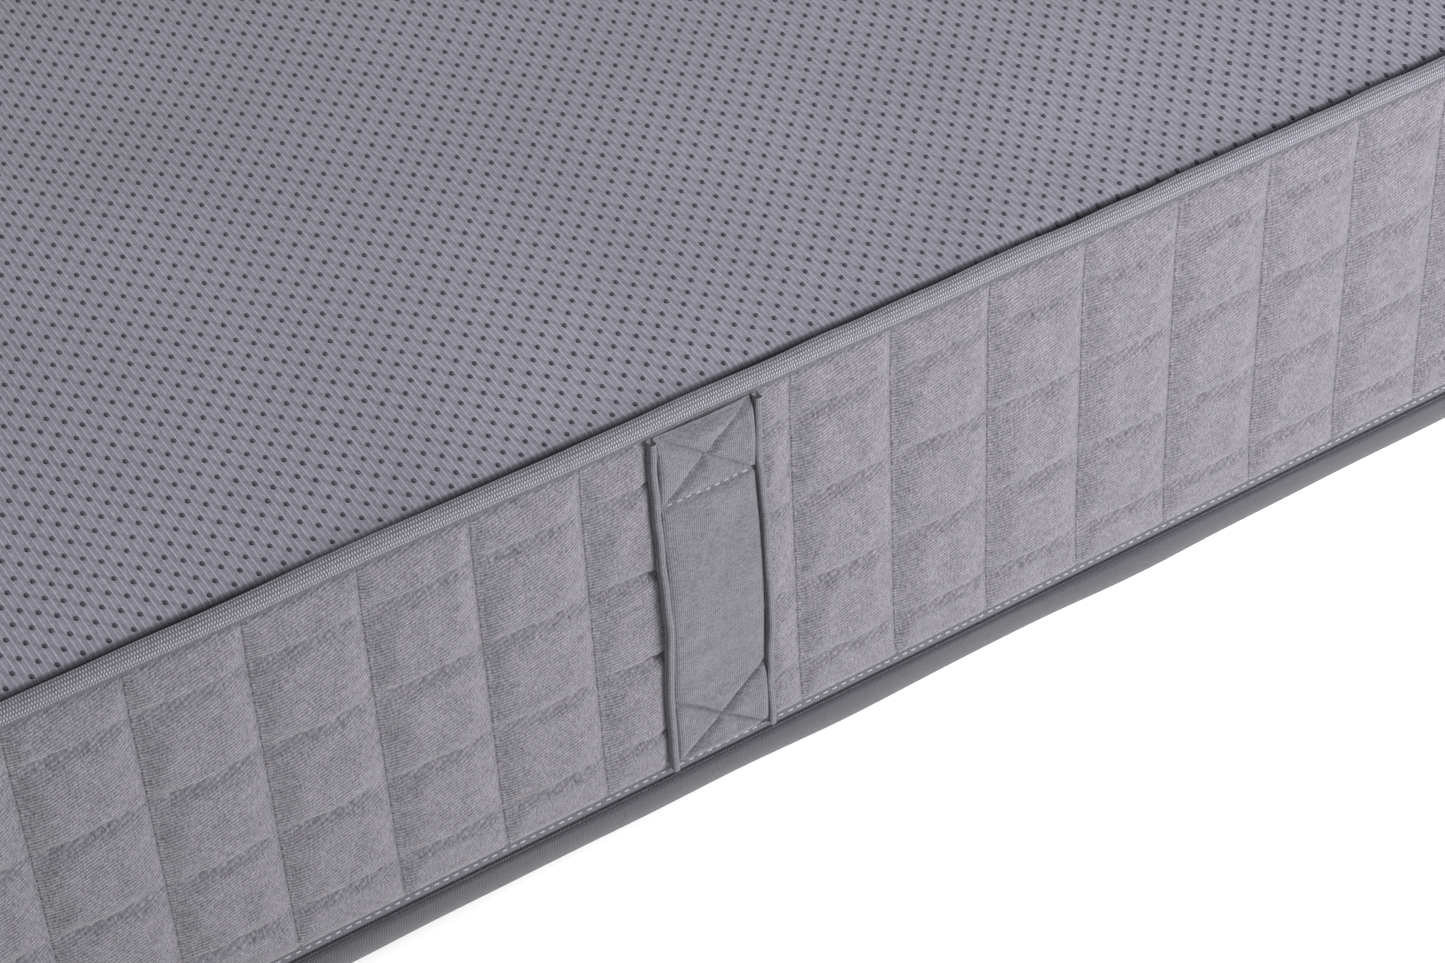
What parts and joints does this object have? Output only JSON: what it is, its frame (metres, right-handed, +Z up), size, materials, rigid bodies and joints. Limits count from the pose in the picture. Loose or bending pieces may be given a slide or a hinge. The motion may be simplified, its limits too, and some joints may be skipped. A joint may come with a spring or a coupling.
{
  "type": "memory foam mattress",
  "caption": "Rectangular foam mattress lying on its sleeping face: quilted zip-off cover, taped edge, dotted anti-slip base panel and sewn carrying handles.",
  "frame": {"origin": "centre of the sleeping face, which lies on the floor", "axes": "+X along the mattress's length, +Y across it towards the side with the zip's slider, +Z up, out of the anti-slip base panel and away from the sleeping face"},
  "size_m": [2, 0.9081, 0.24],
  "materials": {
    "border_knit": "matte",
    "base_knit": "matte",
    "sleep_knit": "matte",
    "tape_weave": "matte",
    "zip_weave": "matte",
    "coil_plastic": "satin",
    "slider_metal": "satin",
    "handle_weave": "matte",
    "patch_felt": "matte",
    "wadding_white": "matte",
    "liner_knit": "matte",
    "elastic_white": "matte",
    "memory_foam": "matte",
    "transition_foam": "matte",
    "core_foam": "matte",
    "label_satin": "satin"
  },
  "bodies": {
    "mattress": {"sleep_panel": "sleep_knit", "sleep_panel_wadding": "wadding_white", "border_front": "border_knit", "border_rear": "border_knit", "border_left": "border_knit", "border_right": "border_knit", "border_wadding_front": "wadding_white", "border_wadding_rear": "wadding_white", "border_wadding_left": "wadding_white", "border_wadding_right": "wadding_white", "base_panel": "base_knit", "edge_tape": "tape_weave", "zip_coil_panel": "coil_plastic", "zip_coil_border": "coil_plastic", "zip_tape_border": "zip_weave", "zip_tape_panel": "zip_weave", "zip_start_stop": "slider_metal", "zip_end_stop": "slider_metal", "handle_front_left_strap": "handle_weave", "handle_front_left_piping_left": "handle_weave", "handle_front_left_piping_right": "handle_weave", "handle_front_left_patch": "patch_felt", "handle_front_right_strap": "handle_weave", "handle_front_right_piping_left": "handle_weave", "handle_front_right_piping_right": "handle_weave", "handle_front_right_patch": "patch_felt", "handle_rear_left_strap": "handle_weave", "handle_rear_left_piping_left": "handle_weave", "handle_rear_left_piping_right": "handle_weave", "handle_rear_left_patch": "patch_felt", "handle_rear_right_strap": "handle_weave", "handle_rear_right_piping_left": "handle_weave", "handle_rear_right_piping_right": "handle_weave", "handle_rear_right_patch": "patch_felt", "care_label": "label_satin", "inner_liner": "liner_knit", "liner_elastic": "elastic_white", "memory_foam_layer": "memory_foam", "transition_foam_layer": "transition_foam", "support_foam_core": "core_foam"},
    "zip_slider": {"zip_slider": "slider_metal"},
    "zip_pull": {"zip_pull": "slider_metal"}
  },
  "joints": [
    {"name": "zip_slide", "type": "slide", "parent": "mattress", "child": "zip_slider", "axis": [-1, 0, 0], "range_m": [0, 1.776]},
    {"name": "pull_hinge", "type": "hinge", "parent": "zip_slider", "child": "zip_pull", "pos_m": [0.888, 0.45245, 0.04235], "axis": [0, 0, 1], "range_deg": [0, 180]}
  ]
}
